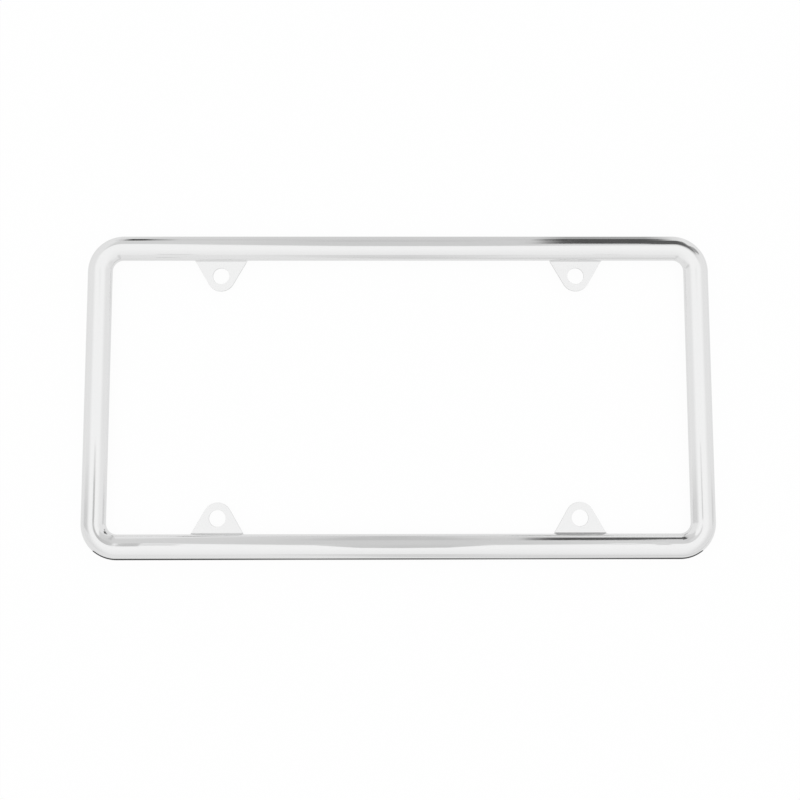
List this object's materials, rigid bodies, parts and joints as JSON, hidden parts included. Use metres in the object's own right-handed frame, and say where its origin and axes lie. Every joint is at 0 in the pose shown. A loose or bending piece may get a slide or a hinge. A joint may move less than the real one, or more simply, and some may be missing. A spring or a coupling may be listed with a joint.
{
  "type": "number plate holder frame",
  "caption": "Slim pressed frame round a number plate: a bright rounded bead, open at the back, with flat drilled ears bent inwards for the plate's screws.",
  "frame": {"origin": "centre of the frame, in the plane of the outer wall's foot, which is the frame's back", "axes": "+X along the long side, +Y across it, +Z from the back to the crown at the front"},
  "size_m": [0.311, 0.161, 0.008],
  "materials": {
    "polished_steel": "mirror-polished pressed steel sheet"
  },
  "bodies": {
    "root": {"plate_frame": "polished_steel"}
  },
  "joints": []
}
